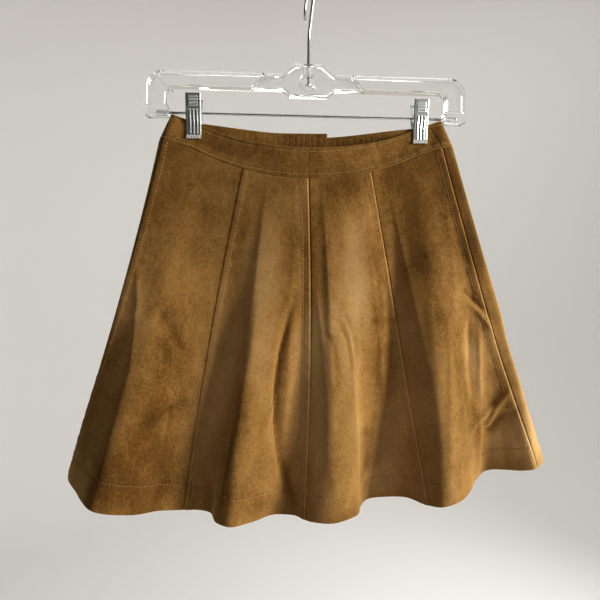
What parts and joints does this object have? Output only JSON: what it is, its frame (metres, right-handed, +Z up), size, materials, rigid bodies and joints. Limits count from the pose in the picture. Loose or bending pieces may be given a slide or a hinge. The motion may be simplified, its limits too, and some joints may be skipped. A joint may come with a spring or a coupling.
{
  "type": "skirt and hanger",
  "caption": "Flared gored mini skirt in soft suede-like cloth with a shaped waistband and back zip, clipped to a clear skirt hanger with a wire hook.",
  "frame": {"origin": "inner top of the hanger's hook, where it hangs on a rail", "axes": "+Z up, along the hang; +X to the viewer's right across the waist; +Y to the back, so the front faces -Y"},
  "size_m": [0.5477, 0.1399, 0.5949],
  "materials": {
    "suede": "napped, matt",
    "zip_tape": "woven",
    "zip_metal": "satin",
    "clear_plastic": "clear, polished",
    "bright_steel": "polished"
  },
  "bodies": {
    "skirt": {"gore_front_left_side": "suede", "gore_front_left_centre": "suede", "gore_front_right_centre": "suede", "gore_front_right_side": "suede", "gore_back_right_side": "suede", "gore_back_right_centre": "suede", "gore_back_left_centre": "suede", "gore_back_left_side": "suede", "band_front_left": "suede", "band_front_right": "suede", "band_back_right": "suede", "band_back_left": "suede", "zip_tape_left": "zip_tape", "zip_tape_right": "zip_tape", "zip_slider": "zip_metal", "stud_socket": "zip_metal", "stud_cap": "zip_metal", "hanger_body": "clear_plastic", "hanger_rod": "bright_steel", "hanger_hook": "bright_steel", "clip_left_front": "bright_steel", "clip_left_back": "bright_steel", "clip_left_spring": "bright_steel", "clip_right_front": "bright_steel", "clip_right_back": "bright_steel", "clip_right_spring": "bright_steel"},
    "pull": {"zip_pull": "zip_metal"}
  },
  "joints": [
    {"name": "zip_pull_swing", "type": "hinge", "parent": "skirt", "child": "pull", "pos_m": [0, 0.0144, -0.1993], "axis": [1, 0, 0], "range_deg": [0, 170]}
  ]
}
